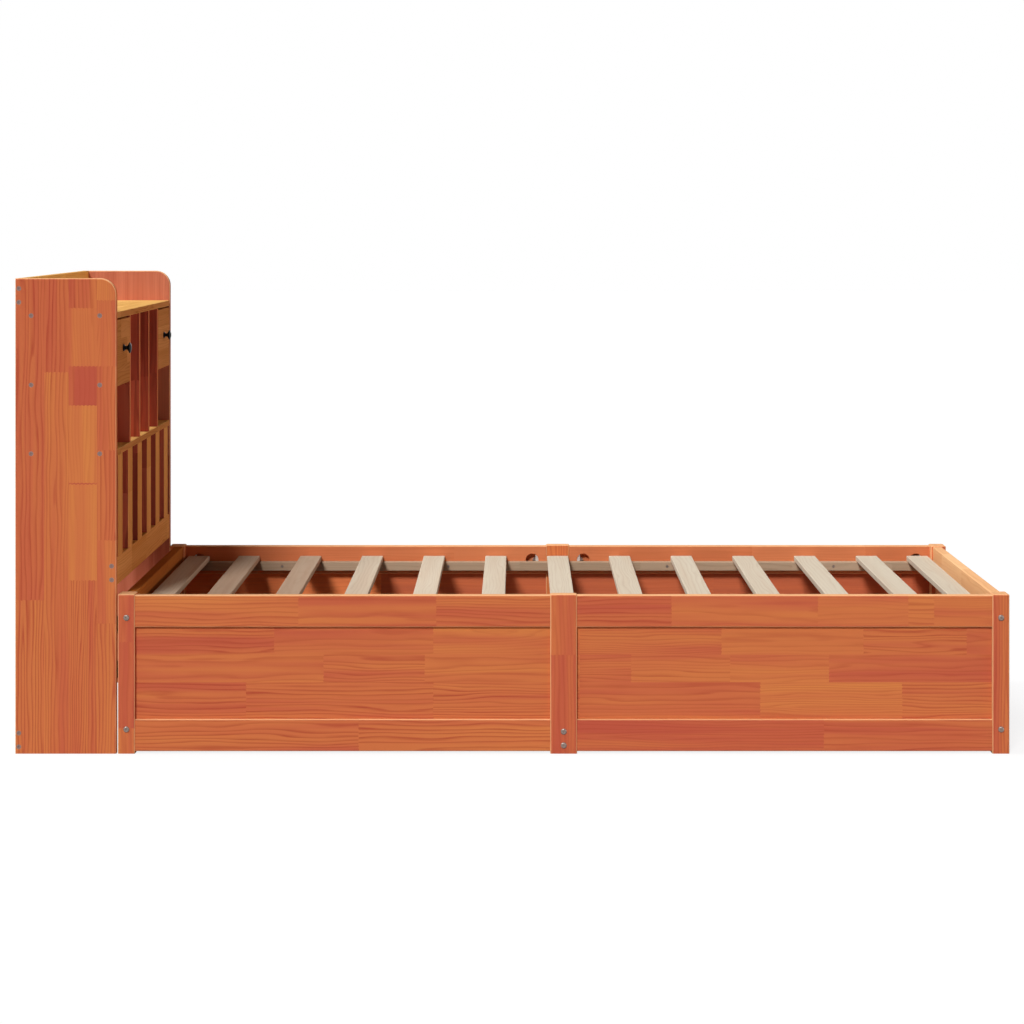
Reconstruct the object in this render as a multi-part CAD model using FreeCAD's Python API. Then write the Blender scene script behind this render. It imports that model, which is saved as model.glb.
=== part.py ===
import FreeCAD, Part
import math
import os

# Single bed frame with a bookcase headboard, in millimetres.
# X runs from the head to the foot, Y from the left side to the right, Z up.
# Left and right are those of a person at the foot who faces the headboard.
# The origin is on the floor, under the middle of the whole bed.

V = FreeCAD.Vector
ALONG = V(1, 0, 0)
ACROSS = V(0, 1, 0)
UP = V(0, 0, 1)
HEAD, FOOT = -1, 1
LEFT, RIGHT = -1, 1

# Mattress space and bed rails. The end rails stand further in from the posts' faces than the side rails.
mattress_length = 2000.0
mattress_width = 900.0
rail_thick = 25.0
rail_height = 74.0
rail_ease = 3.0
rail_floor_gap = 5.0
end_rail_recess = 10.0
cross_rail_height = 71.0

# Posts, with the width along the bed and the depth across it
post_height = 370.0
post_rise = 3.0
post_proud = 2.5
post_ease = 4.0
corner_post_width = 40.0
corner_post_depth = 50.0
mid_post_width = 62.5

# Infill boards, held in grooves in the rails and posts
infill_thick = 10.0
infill_recess = 8.0
groove_depth = 8.0
groove_slack = 1.0
groove_room = 0.2

# Bed slats and the battens that carry them
slat_width = 56.5
slat_thick = 14.0
slat_pitch = 165.0
slat_ease = 2.0
slat_drop = 26.0
slat_end_gap = 2.0
end_slat_inset = 41.0
foot_slat_skew = 9.0
skew_pivot_share = 0.6
batten_thick = 25.0
batten_height = 23.0
batten_ease = 1.5
batten_joint_gap = 0.4
batten_screw_shares = (0.27, 0.5, 0.73)

# Headboard boards
headboard_height = 1103.0
headboard_depth = 234.8
headboard_gap = 3.2
panel_thick = 18.0
panel_corner = 39.0
panel_ease = 3.0
board_setback = 2.5
board_ease = 2.0
shelf_thick = 15.0
lip_height = 79.0
drawer_bay_height = 146.0
open_bay_height = 144.5
divider_thick = 15.0
divider_shares = (-1 / 4, -1 / 12, 1 / 12, 1 / 4)
back_rail_thick = 17.0
back_bottom_height = 64.0
front_rail_thick = 17.0
front_rail_height = 64.5
front_rail_rise = 17.0
headboard_slat_count = 6
headboard_slat_width = 70.0
headboard_slat_thick = 15.0

# Drawers
drawer_front_thick = 15.0
drawer_front_gap = 2.0
drawer_front_top_gap = 4.0
drawer_front_lap = 13.0
drawer_front_ease = 1.5
drawer_side_thick = 12.0
drawer_back_thick = 12.0
drawer_bottom_thick = 4.0
drawer_bottom_rise = 6.0
drawer_box_height = 110.0
drawer_box_depth = 190.0
drawer_housing = 5.0
drawer_run_gap = 0.3
drawer_stop_gap = 0.3
drawer_joint_room = 0.1

# Turned knobs and their screws
knob_reach = 20.0
knob_head = 25.0
knob_rim = 2.0
knob_dome = 3.5
knob_flare = 5.0
knob_stem = 9.0
knob_base = 15.0
knob_base_thick = 2.5
knob_screw_size = 4.0
knob_screw_head = 8.0
knob_screw_head_height = 2.5
knob_screw_bite = 10.0

# Bolts through the posts, with barrel nuts in the cross rails
bolt_size = 6.0
bolt_head = 14.0
bolt_head_height = 3.5
bolt_dome_share = 0.8
bolt_socket = 4.0
bolt_socket_depth = 2.0
bolt_reach = 46.0
corner_bolt_shift = 14.5
cross_bolt_pitch = 32.0
barrel_nut_size = 10.0
barrel_nut_length = 12.0
barrel_nut_reach = 38.0

# Bolts in the ends of the side rails, with half-moon washers and nuts in round pockets
rail_bolt_depth = 10.0
rail_bolt_bite = 26.0
rail_bolt_tip = 3.0
pocket_size = 34.0
pocket_depth = 18.0
pocket_reach = 37.0
washer_rise = 8.0
washer_width = 14.0
nut_size = 10.0
nut_thick = 5.0

# Screws through the side panels
panel_screw_size = 6.0
panel_screw_head = 11.0
panel_screw_length = 50.0
panel_screw_pitch = 32.0
shelf_screw_back_inset = 37.0
shelf_screw_front_inset = 38.5

# Dowels in the headboard
dowel_size = 8.0
dowel_short_bite = 9.0
dowel_long_bite = 20.0
dowel_end_room = 0.5
dowel_depth_shares = (0.2, 0.8)

# Battens' screws, and angle brackets that tie the headboard to the head posts
wood_screw_size = 4.0
wood_screw_head = 7.5
batten_screw_bite = 18.0
bracket_thick = 3.0
bracket_width = 40.0
bracket_margin = 2.0
bracket_height_shares = (0.52, 0.80)
bracket_screw_pitch = 22.0
bracket_screw_head_height = 2.0
bracket_screw_bite = 12.0

# Six-sided drive recess in each screw's head
drive_share = 0.42
drive_depth_share = 0.22

# Room round every bolt, screw and dowel, and how far a cut runs past a face
fit_room = 0.15
cut_overrun = 1.0
ease_limit_share = 0.45
parallel_share = 0.01
hex_sides = 6

# Places along the bed
rim = rail_thick + post_proud
end_rim = rail_thick + end_rail_recess
bed_length = mattress_length + 2 * end_rim
bed_width = mattress_width + 2 * rim
whole_length = headboard_depth + headboard_gap + bed_length
back_x = -whole_length / 2
panel_front_x = back_x + headboard_depth
board_front_x = panel_front_x - board_setback
bed_head_x = panel_front_x + headboard_gap
bed_foot_x = whole_length / 2
bed_mid_x = (bed_head_x + bed_foot_x) / 2
head_bay = (bed_head_x + corner_post_width, bed_mid_x - mid_post_width / 2)
foot_bay = (bed_mid_x + mid_post_width / 2, bed_foot_x - corner_post_width)

# Places across the bed
side_y = bed_width / 2
panel_inner_y = side_y - panel_thick
rail_inner_y = side_y - rim
end_rail_y = side_y - corner_post_depth

# Heights in the bed
rail_top = post_height - post_rise
upper_rail = (rail_top - rail_height, rail_top)
lower_rail = (rail_floor_gap, rail_floor_gap + rail_height)
cross_rail = (0, cross_rail_height)
slat_top = rail_top - slat_drop
batten_top = slat_top - slat_thick
infill_bite = groove_depth - groove_slack

# Heights in the headboard
top_shelf = (headboard_height - lip_height - shelf_thick, headboard_height - lip_height)
drawer_shelf_top = top_shelf[0] - drawer_bay_height
drawer_shelf = (drawer_shelf_top - shelf_thick, drawer_shelf_top)
lower_shelf_top = drawer_shelf[0] - open_bay_height
lower_shelf = (lower_shelf_top - shelf_thick, lower_shelf_top)
front_rail_bottom = post_height + front_rail_rise
front_rail = (front_rail_bottom, front_rail_bottom + front_rail_height)
divider_places = [share * bed_width for share in divider_shares]


def middle(pair):
    return (pair[0] + pair[1]) / 2


def from_side(side, inward):
    """Y of a point this far in from the outer face of the left or right side."""
    return side * (side_y - inward)


def from_end(end, inward):
    """X of a point this far in from the outer face of the bed's head or foot."""
    outer = bed_head_x if end == HEAD else bed_foot_x
    return outer - end * inward


def block(xs, ys, zs):
    """Box between three pairs of limits, each in either order."""
    pairs = (xs, ys, zs)
    size = [abs(pair[1] - pair[0]) for pair in pairs]
    return Part.makeBox(*size, V(*[min(pair) for pair in pairs]))


def eased(solid, radius, edges):
    """Round some edges of a board, as far as its thickness allows."""
    box = solid.BoundBox
    thinnest = min(box.XLength, box.YLength, box.ZLength)
    return solid.makeFillet(min(radius, ease_limit_share * thinnest), edges)


def runs_along(edge, axis):
    return edge.tangentAt(edge.FirstParameter).cross(axis).Length < parallel_share


def board(xs, ys, zs, run, radius):
    """Board whose four edges along its run are rounded and whose ends are square."""
    solid = block(xs, ys, zs)
    return eased(solid, radius, [edge for edge in solid.Edges if runs_along(edge, run)])


def rod(start, direction, diameter, length):
    return Part.makeCylinder(diameter / 2, length, start, direction)


def hex_prism(start, direction, across_flats, length):
    side = direction.cross(UP)
    radius = across_flats / math.sqrt(3)
    points = []
    for k in range(hex_sides + 1):
        turn = 2 * math.pi * k / hex_sides
        points.append(start + UP * (radius * math.cos(turn)) + side * (radius * math.sin(turn)))
    return Part.Face(Part.makePolygon(points)).extrude(direction * length)


def save(name, solids):
    """Write one node, as one solid or as a group of separate solids."""
    separate = [solid for shape in solids for solid in shape.Solids]
    shape = separate[0] if len(separate) == 1 else Part.makeCompound(separate)
    shape.exportStep("parts/" + name + ".step")


# Fasteners are placed first. Each one leaves the bore that it needs, and every board is drilled
# with the bores that reach it.
bores = []


def drilled(solid, more=()):
    """Cut a board with the bores that reach it, and with cuts of its own."""
    near = [bore for bore in bores if bore.BoundBox.intersect(solid.BoundBox)]
    return solid.cut(near + list(more)).removeSplitter()


def driven(screw, point, direction, head):
    """Cut the drive recess into a screw, from the middle of its head's outer face."""
    return screw.cut(hex_prism(point - direction * cut_overrun, direction, drive_share * head,
                               cut_overrun + drive_depth_share * head))


def flat_screw(point, direction, size, head, length):
    """Countersunk screw that starts with its flat head at a point of the outer face."""
    sink = (head - size) / 2
    cone = Part.makeCone(head / 2, size / 2, sink, point, direction)
    shank = rod(point, direction, size, length)
    bores.append(rod(point - direction * cut_overrun, direction, head + 2 * fit_room, cut_overrun))
    bores.append(Part.makeCone(head / 2 + fit_room, size / 2 + fit_room, sink, point, direction))
    bores.append(rod(point, direction, size + 2 * fit_room, length + fit_room))
    return driven(cone.fuse(shank).removeSplitter(), point, direction, head)


def post_bolt(x, side, z, post_depth):
    """Domed socket bolt from a post's outer face into the end of a cross rail."""
    face = V(x, from_side(side, 0), z)
    outward = ACROSS * side
    head = rod(face, outward, bolt_head, bolt_head_height)
    rim_edge = max(head.Edges, key=lambda edge: (edge.CenterOfMass - face).dot(outward))
    head = head.makeFillet(bolt_head_height * bolt_dome_share, [rim_edge])
    socket_floor = face + outward * (bolt_head_height - bolt_socket_depth)
    socket = hex_prism(socket_floor, outward, bolt_socket, bolt_socket_depth + cut_overrun)
    shank_length = post_depth + bolt_reach
    bores.append(rod(face + outward * cut_overrun, -outward, bolt_size + 2 * fit_room,
                     shank_length + cut_overrun + fit_room))
    shank = rod(face, -outward, bolt_size, shank_length)
    return head.cut(socket).fuse(shank).removeSplitter()


def barrel_nut(x, y, z, face_x):
    """Cross-bored barrel nut on a bolt's line, let in from one face of the cross rail."""
    start = V(x - barrel_nut_length / 2, y, z)
    nut = rod(start, ALONG, barrel_nut_size, barrel_nut_length)
    cross_bore = rod(V(x, y - barrel_nut_size, z), ACROSS, bolt_size + 2 * fit_room, 2 * barrel_nut_size)
    inward = 1 if x > face_x else -1
    hole_depth = abs(x - face_x) + barrel_nut_length / 2 + fit_room
    bores.append(rod(V(face_x - inward * cut_overrun, y, z), ALONG * inward,
                     barrel_nut_size + 2 * fit_room, hole_depth + cut_overrun))
    return nut.cut(cross_bore)


def rail_bolt(x, into_rail, y, z):
    """Bolt from a post into the pocket near the end of a side rail."""
    seat = pocket_reach - pocket_size / 2
    length = rail_bolt_bite + seat + fit_room + washer_rise + nut_thick + rail_bolt_tip
    start = V(x - into_rail * rail_bolt_bite, y, z)
    direction = ALONG * into_rail
    bores.append(rod(start - direction * fit_room, direction, bolt_size + 2 * fit_room, length))
    return rod(start, direction, bolt_size, length)


def rail_washer(x, into_rail, y, z):
    """Half-moon washer, round against the pocket's wall and flat for the nut."""
    centre_x = x + into_rail * pocket_reach
    radius = pocket_size / 2 - fit_room
    start = V(centre_x, y - washer_width / 2, z)
    disc = rod(start, ACROSS, 2 * radius, washer_width)
    wall_x = centre_x - into_rail * radius
    keep = block((wall_x, wall_x + into_rail * washer_rise),
                 (y - washer_width / 2, y + washer_width / 2), (z - radius, z + radius))
    bolt_hole = rod(V(wall_x - into_rail * cut_overrun, y, z), ALONG * into_rail,
                    bolt_size + 2 * fit_room, washer_rise + 2 * cut_overrun)
    return disc.common(keep).cut(bolt_hole)


def rail_nut(x, into_rail, y, z):
    seat_x = x + into_rail * (pocket_reach - pocket_size / 2 + fit_room + washer_rise)
    direction = ALONG * into_rail
    nut = hex_prism(V(seat_x, y, z), direction, nut_size, nut_thick)
    bolt_hole = rod(V(seat_x, y, z) - direction * cut_overrun, direction,
                    bolt_size + 2 * fit_room, nut_thick + 2 * cut_overrun)
    return nut.cut(bolt_hole)


def dowel(joint, into_long):
    """Dowel across a joint, with its short end in the thin board."""
    start = joint - into_long * dowel_short_bite
    length = dowel_short_bite + dowel_long_bite
    bores.append(rod(start - into_long * dowel_end_room, into_long, dowel_size + 2 * fit_room,
                     length + 2 * dowel_end_room))
    return rod(start, into_long, dowel_size, length)


def bracket_screw(point, direction):
    """Round-headed screw on an angle bracket."""
    top = point - direction * bracket_screw_head_height
    head = rod(top, direction, wood_screw_head, bracket_screw_head_height)
    length = bracket_thick + bracket_screw_bite
    bores.append(rod(point, direction, wood_screw_size + 2 * fit_room, length + fit_room))
    screw = head.fuse(rod(point, direction, wood_screw_size, length)).removeSplitter()
    return driven(screw, top, direction, wood_screw_head)


# Where the two rails of a side or an end are bolted
corner_bolt_heights = (middle(upper_rail) - corner_bolt_shift, middle(lower_rail) + corner_bolt_shift)
cross_bolt_heights = [middle(cross_rail) + step * cross_bolt_pitch / 2 for step in (-1, 1)]
rail_bolt_y = rim - rail_bolt_depth
rail_ends = [(bay[0], 1) for bay in (head_bay, foot_bay)] + [(bay[1], -1) for bay in (head_bay, foot_bay)]

post_bolts = []
barrel_nuts = []
rail_bolts = []
rail_washers = []
rail_nuts = []
for side in (LEFT, RIGHT):
    for end in (HEAD, FOOT):
        bolt_x = from_end(end, corner_post_width / 2)
        for z in corner_bolt_heights:
            post_bolts.append(post_bolt(bolt_x, side, z, corner_post_depth))
            nut_y = side * (end_rail_y - barrel_nut_reach)
            barrel_nuts.append(barrel_nut(bolt_x, nut_y, z, from_end(end, end_rim)))
    for z in cross_bolt_heights:
        post_bolts.append(post_bolt(bed_mid_x, side, z, rim))
        nut_y = side * (rail_inner_y - barrel_nut_reach)
        barrel_nuts.append(barrel_nut(bed_mid_x, nut_y, z, bed_mid_x + rail_thick / 2))
    for x, into_rail in rail_ends:
        y = from_side(side, rail_bolt_y)
        for z in (middle(upper_rail), middle(lower_rail)):
            rail_bolts.append(rail_bolt(x, into_rail, y, z))
            rail_washers.append(rail_washer(x, into_rail, y, z))
            rail_nuts.append(rail_nut(x, into_rail, y, z))

# Screws through the headboard's side panels into the ends of its boards
back_rail_x = back_x + back_rail_thick / 2
front_rail_x = board_front_x - front_rail_thick / 2
panel_screw_places = []
for rail_x, rail_zs in ((back_rail_x, (top_shelf[1], headboard_height)),
                        (back_rail_x, (0, back_bottom_height)), (front_rail_x, front_rail)):
    for step in (-1, 1):
        panel_screw_places.append((rail_x, middle(rail_zs) + step * panel_screw_pitch / 2))
for shelf_zs in (top_shelf, drawer_shelf, lower_shelf):
    for screw_x in (back_x + shelf_screw_back_inset, panel_front_x - shelf_screw_front_inset):
        panel_screw_places.append((screw_x, middle(shelf_zs)))
panel_screws = []
for side in (LEFT, RIGHT):
    for x, z in panel_screw_places:
        panel_screws.append(flat_screw(V(x, from_side(side, 0), z), ACROSS * -side,
                                       panel_screw_size, panel_screw_head, panel_screw_length))

# Dowels between the dividers, shelves, headboard slats and front rail
board_depth = board_front_x - back_x
dowel_depths = [back_x + share * board_depth for share in dowel_depth_shares]
headboard_slat_x = board_front_x - headboard_slat_thick / 2
headboard_slat_pitch = bed_width / headboard_slat_count
headboard_slat_places = [(k + 1 / 2) * headboard_slat_pitch - side_y for k in range(headboard_slat_count)]
dowels = []
for y in divider_places:
    for x in dowel_depths:
        dowels.append(dowel(V(x, y, lower_shelf[1]), UP))
        dowels.append(dowel(V(x, y, top_shelf[0]), -UP))
for side in (LEFT, RIGHT):
    outer_divider = divider_places[0] if side == LEFT else divider_places[-1]
    for x in dowel_depths:
        joint = V(x, outer_divider + side * divider_thick / 2, middle(drawer_shelf))
        dowels.append(dowel(joint, ACROSS * side))
for y in headboard_slat_places:
    dowels.append(dowel(V(headboard_slat_x, y, lower_shelf[0]), -UP))
    dowels.append(dowel(V(headboard_slat_x, y, front_rail[1]), UP))

# Screws that hold each batten to its upper side rail
batten_runs = ((head_bay[0] + batten_joint_gap, bed_mid_x - batten_joint_gap / 2),
               (bed_mid_x + batten_joint_gap / 2, foot_bay[1] - batten_joint_gap))
batten_screws = []
for side in (LEFT, RIGHT):
    for bay in (head_bay, foot_bay):
        for share in batten_screw_shares:
            x = bay[0] + share * (bay[1] - bay[0])
            point = V(x, from_side(side, rim + batten_thick), batten_top - batten_height / 2)
            batten_screws.append(flat_screw(point, ACROSS * side, wood_screw_size, wood_screw_head,
                                            batten_thick + batten_screw_bite))

# Angle brackets inside the headboard, between its side panels and the head posts
bracket_leg = corner_post_depth - panel_thick - bracket_margin
bracket_heights = [share * post_height for share in bracket_height_shares]
brackets = []
bracket_screws = []
for side in (LEFT, RIGHT):
    for z in bracket_heights:
        zs = (z - bracket_width / 2, z + bracket_width / 2)
        post_leg = block((bed_head_x - bracket_thick, bed_head_x),
                         (from_side(side, panel_thick), from_side(side, panel_thick + bracket_leg)), zs)
        panel_leg = block((bed_head_x - headboard_gap - bracket_leg, bed_head_x),
                          (from_side(side, panel_thick), from_side(side, panel_thick + bracket_thick)), zs)
        for step in (-1, 1):
            screw_z = z + step * bracket_screw_pitch / 2
            post_point = V(bed_head_x - bracket_thick,
                           from_side(side, panel_thick + (bracket_leg + bracket_thick) / 2), screw_z)
            panel_point = V(panel_front_x - bracket_leg / 2,
                            from_side(side, panel_thick + bracket_thick), screw_z)
            bracket_screws.append(bracket_screw(post_point, ALONG))
            bracket_screws.append(bracket_screw(panel_point, ACROSS * side))
        brackets.append(drilled(post_leg.fuse(panel_leg).removeSplitter()))


# Posts
infill_depth = post_proud + infill_recess
end_infill_depth = end_rail_recess + infill_recess
groove_depths = (infill_depth - groove_room, infill_depth + infill_thick + groove_room)
end_groove_depths = (end_infill_depth - groove_room, end_infill_depth + infill_thick + groove_room)
groove_zs = (lower_rail[1] - groove_depth, upper_rail[0] + groove_depth)


def post(xs, ys):
    """Post with its upright edges and its top rounded."""
    solid = block(xs, ys, (0, post_height))
    edges = [edge for edge in solid.Edges if edge.CenterOfMass.z > 0]
    return eased(solid, post_ease, edges)


def side_post_groove(face_x, into_post, side):
    """Groove in a post's face for the end of a side infill board."""
    ys = [from_side(side, depth) for depth in groove_depths]
    return block((face_x - into_post * cut_overrun, face_x + into_post * groove_depth), ys, groove_zs)


def corner_post(end, side):
    xs = (from_end(end, 0), from_end(end, corner_post_width))
    ys = (from_side(side, 0), from_side(side, corner_post_depth))
    end_groove = block([from_end(end, depth) for depth in end_groove_depths],
                       (from_side(side, corner_post_depth + cut_overrun),
                        from_side(side, corner_post_depth - groove_depth)), groove_zs)
    return drilled(post(xs, ys), [side_post_groove(xs[1], end, side), end_groove])


def mid_post(side):
    xs = (bed_mid_x - mid_post_width / 2, bed_mid_x + mid_post_width / 2)
    ys = (from_side(side, 0), from_side(side, rim))
    return drilled(post(xs, ys), [side_post_groove(xs[0], 1, side), side_post_groove(xs[1], -1, side)])


# Rails
def groove_heights(zs):
    """Heights of the infill groove: in the lower edge of an upper rail, the upper edge of a lower one."""
    if zs == upper_rail:
        return (zs[0] - cut_overrun, zs[0] + groove_depth)
    return (zs[1] + cut_overrun, zs[1] - groove_depth)


def side_rail(side, bay, zs):
    """Side rail between two posts, with an infill groove and a bolt pocket at each end."""
    ys = (from_side(side, post_proud), from_side(side, rim))
    groove_ys = [from_side(side, depth) for depth in groove_depths]
    cuts = [block(bay, groove_ys, groove_heights(zs))]
    for x, into_rail in ((bay[0], 1), (bay[1], -1)):
        mouth = V(x + into_rail * pocket_reach, from_side(side, rim + cut_overrun), middle(zs))
        cuts.append(rod(mouth, ACROSS * side, pocket_size, pocket_depth + cut_overrun))
    return drilled(board(bay, ys, zs, ALONG, rail_ease), cuts)


def end_rail(end, zs):
    """Cross rail between the two corner posts of the head or the foot."""
    xs = (from_end(end, end_rail_recess), from_end(end, end_rim))
    ys = (-end_rail_y, end_rail_y)
    groove = block([from_end(end, depth) for depth in end_groove_depths], ys, groove_heights(zs))
    return drilled(board(xs, ys, zs, ACROSS, rail_ease), [groove])


def centre_rail():
    """Cross rail on the floor between the two mid posts."""
    xs = (bed_mid_x - rail_thick / 2, bed_mid_x + rail_thick / 2)
    return drilled(board(xs, (-rail_inner_y, rail_inner_y), cross_rail, ACROSS, rail_ease))


# Infill boards
infill_depths = (infill_depth, infill_depth + infill_thick)
end_infill_depths = (end_infill_depth, end_infill_depth + infill_thick)
infill_zs = (lower_rail[1] - infill_bite, upper_rail[0] + infill_bite)


def side_infill(side, bay):
    ys = [from_side(side, depth) for depth in infill_depths]
    return block((bay[0] - infill_bite, bay[1] + infill_bite), ys, infill_zs)


def end_infill(end):
    xs = [from_end(end, depth) for depth in end_infill_depths]
    return block(xs, (-end_rail_y - infill_bite, end_rail_y + infill_bite), infill_zs)


# Battens and slats
def batten(side, run):
    ys = (from_side(side, rim), from_side(side, rim + batten_thick))
    return drilled(board(run, ys, (batten_top - batten_height, batten_top), ALONG, batten_ease))


def bed_slats():
    """Loose slats on the battens: even steps from the middle, and one close to each end. The one at the foot
    lies a little askew."""
    end_place = mattress_length / 2 - end_slat_inset
    steps = int((end_place - slat_width) / slat_pitch)
    places = [k * slat_pitch for k in range(-steps, steps + 1)] + [-end_place, end_place]
    ys = (-rail_inner_y + slat_end_gap, rail_inner_y - slat_end_gap)
    slats = []
    for place in places:
        x = bed_mid_x + place
        slats.append(board((x - slat_width / 2, x + slat_width / 2), ys, (batten_top, slat_top),
                           ACROSS, slat_ease))
    pivot = V(bed_mid_x + end_place, skew_pivot_share * rail_inner_y, slat_top)
    slats[-1].rotate(pivot, -UP, math.degrees(math.atan(foot_slat_skew / mattress_width)))
    return slats


# Headboard
def side_panel(side):
    """Upright side board with a round top corner at the front and rounded edges."""
    turn = math.sqrt(1 / 2) * panel_corner
    centre_x = panel_front_x - panel_corner
    centre_z = headboard_height - panel_corner
    y = from_side(side, 0)
    back_foot = V(back_x, y, 0)
    back_top = V(back_x, y, headboard_height)
    corner_start = V(centre_x, y, headboard_height)
    corner_mid = V(centre_x + turn, y, centre_z + turn)
    corner_end = V(panel_front_x, y, centre_z)
    front_foot = V(panel_front_x, y, 0)
    outline = Part.Wire([Part.makeLine(back_foot, back_top), Part.makeLine(back_top, corner_start),
                         Part.Arc(corner_start, corner_mid, corner_end).toShape(),
                         Part.makeLine(corner_end, front_foot), Part.makeLine(front_foot, back_foot)])
    solid = Part.Face(outline).extrude(V(0, -side * panel_thick, 0))
    edges = [edge for edge in solid.Edges if not runs_along(edge, ACROSS) and edge.CenterOfMass.z > 0]
    return drilled(eased(solid, panel_ease, edges))


def headboard_board(xs, ys, zs, run):
    return drilled(board(xs, ys, zs, run, board_ease))


def drawer_bay(side):
    """Clear width between a side panel and the outer divider beside it."""
    outer_divider = divider_places[0] if side == LEFT else divider_places[-1]
    return (from_side(side, panel_thick), outer_divider + side * divider_thick / 2)


shelf_xs = (back_x, board_front_x)
between_panels = (-panel_inner_y, panel_inner_y)

# Drawers, shut at rest, which slide out towards the foot
drawer_front_x = board_front_x - drawer_front_thick
drawer_shelf_xs = (back_x, drawer_front_x - drawer_stop_gap)
drawer_back_x = drawer_front_x - drawer_box_depth
drawer_floor = drawer_shelf[1] + drawer_run_gap
drawer_bottom_z = drawer_floor + drawer_bottom_rise
drawer_bottom_zs = (drawer_bottom_z, drawer_bottom_z + drawer_bottom_thick)
drawer_front_zs = (drawer_shelf[1] - drawer_front_lap, top_shelf[0] - drawer_front_top_gap)
drawer_side_zs = (drawer_floor, drawer_floor + drawer_box_height)
knob_z = middle((drawer_shelf[1], top_shelf[0]))


def grown(pair, room):
    return (min(pair) - room, max(pair) + room)


def drawer_width(side):
    """Outside limits of a drawer, clear of the bay on both sides."""
    return grown(drawer_bay(side), -drawer_front_gap)


def drawer_inside(side):
    return grown(drawer_width(side), -drawer_side_thick)


def drawer_bottom(side, room):
    """Bottom board, or the groove that it needs, let into all four walls of the drawer."""
    bite = drawer_housing - drawer_joint_room
    xs = (drawer_back_x + drawer_back_thick - bite, drawer_front_x + bite)
    ys = grown(drawer_inside(side), bite)
    return block(grown(xs, room), grown(ys, room), grown(drawer_bottom_zs, room))


def drawer_side(outer_y, inner_y, room):
    """Side board housed in the back of the drawer front, or the housing that it needs."""
    xs = (drawer_back_x, drawer_front_x + drawer_housing - drawer_joint_room)
    return block(grown(xs, room), grown((outer_y, inner_y), room), grown(drawer_side_zs, room))


def drawer_back(side, room):
    """Back board housed in both sides, or the housing that it needs."""
    xs = (drawer_back_x + drawer_joint_room, drawer_back_x + drawer_back_thick)
    ys = grown(drawer_inside(side), drawer_housing - drawer_joint_room)
    return block(grown(xs, room), grown(ys, room), grown(drawer_side_zs, room))


def knob_screw(y):
    """Screw from inside the drawer, through its front and into the knob."""
    start = V(drawer_front_x, y, knob_z)
    top = start - ALONG * knob_screw_head_height
    head = rod(top, ALONG, knob_screw_head, knob_screw_head_height)
    shank = rod(start, ALONG, knob_screw_size, drawer_front_thick + knob_screw_bite)
    return driven(head.fuse(shank).removeSplitter(), top, ALONG, knob_screw_head)


def knob_screw_bore(y):
    return rod(V(drawer_front_x - cut_overrun, y, knob_z), ALONG, knob_screw_size + 2 * fit_room,
               cut_overrun + drawer_front_thick + knob_screw_bite + fit_room)


def knob(y):
    """Turned knob: a small foot, a slim stem and a flared head with a domed face."""
    rim_x = knob_reach - knob_dome - knob_rim
    profile = ((0, 0), (0, knob_base / 2), (knob_base_thick, knob_base / 2),
               (2 * knob_base_thick, knob_stem / 2), (rim_x - knob_flare, knob_stem / 2),
               (rim_x, knob_head / 2), (rim_x + knob_rim, knob_head / 2))
    points = [V(board_front_x + along, y, knob_z + radius) for along, radius in profile]
    face_x = board_front_x + knob_reach
    tip = V(face_x, y, knob_z)
    dome_radius = ((knob_head / 2) ** 2 + knob_dome ** 2) / (2 * knob_dome)
    half_turn = math.asin(knob_head / 2 / dome_radius) / 2
    dome_mid = V(face_x - dome_radius * (1 - math.cos(half_turn)), y,
                 knob_z + dome_radius * math.sin(half_turn))
    edges = [Part.makeLine(a, b) for a, b in zip(points, points[1:])]
    edges.append(Part.Arc(points[-1], dome_mid, tip).toShape())
    edges.append(Part.makeLine(tip, points[0]))
    solid = Part.Face(Part.Wire(edges)).revolve(tip, ALONG)
    return solid.cut(knob_screw_bore(y))


def drawer(side):
    """The pieces of one drawer, by name."""
    width = drawer_width(side)
    inside = drawer_inside(side)
    knob_y = middle(width)
    front = board((drawer_front_x, board_front_x), width, drawer_front_zs, ACROSS, drawer_front_ease)
    walls = ((width[0], inside[0]), (width[1], inside[1]))
    housings = [drawer_side(outer, inner, drawer_joint_room) for outer, inner in walls]
    bottom_groove = drawer_bottom(side, drawer_joint_room)
    side_cuts = [bottom_groove, drawer_back(side, drawer_joint_room)]
    return {
        "drawer_front": [front.cut(housings + [bottom_groove, knob_screw_bore(knob_y)])],
        "drawer_sides": [drawer_side(outer, inner, 0).cut(side_cuts) for outer, inner in walls],
        "drawer_back": [drawer_back(side, 0).cut(bottom_groove)],
        "drawer_bottom": [drawer_bottom(side, 0)],
        "drawer_knob": [knob(knob_y)],
        "drawer_knob_screw": [knob_screw(knob_y)],
    }


os.makedirs("parts", exist_ok=True)
side_names = ((LEFT, "left"), (RIGHT, "right"))
end_names = ((HEAD, "head"), (FOOT, "foot"))
bay_names = ((head_bay, "head"), (foot_bay, "foot"))

for side, side_name in side_names:
    save("headboard_side_panel_" + side_name, [side_panel(side)])
    save("drawer_shelf_" + side_name,
         [headboard_board(drawer_shelf_xs, drawer_bay(side), drawer_shelf, ACROSS)])
    for piece, solids in drawer(side).items():
        save(piece + "_" + side_name, solids)
    save("mid_post_" + side_name, [mid_post(side)])
    for end, end_name in end_names:
        save(end_name + "_post_" + side_name, [corner_post(end, side)])
    for bay, bay_name in bay_names:
        save("upper_side_rail_" + side_name + "_" + bay_name, [side_rail(side, bay, upper_rail)])
    save("lower_side_rails_" + side_name, [side_rail(side, bay, lower_rail) for bay in (head_bay, foot_bay)])
    save("side_infill_" + side_name, [side_infill(side, bay) for bay in (head_bay, foot_bay)])
    save("slat_battens_" + side_name, [batten(side, run) for run in batten_runs])

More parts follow.
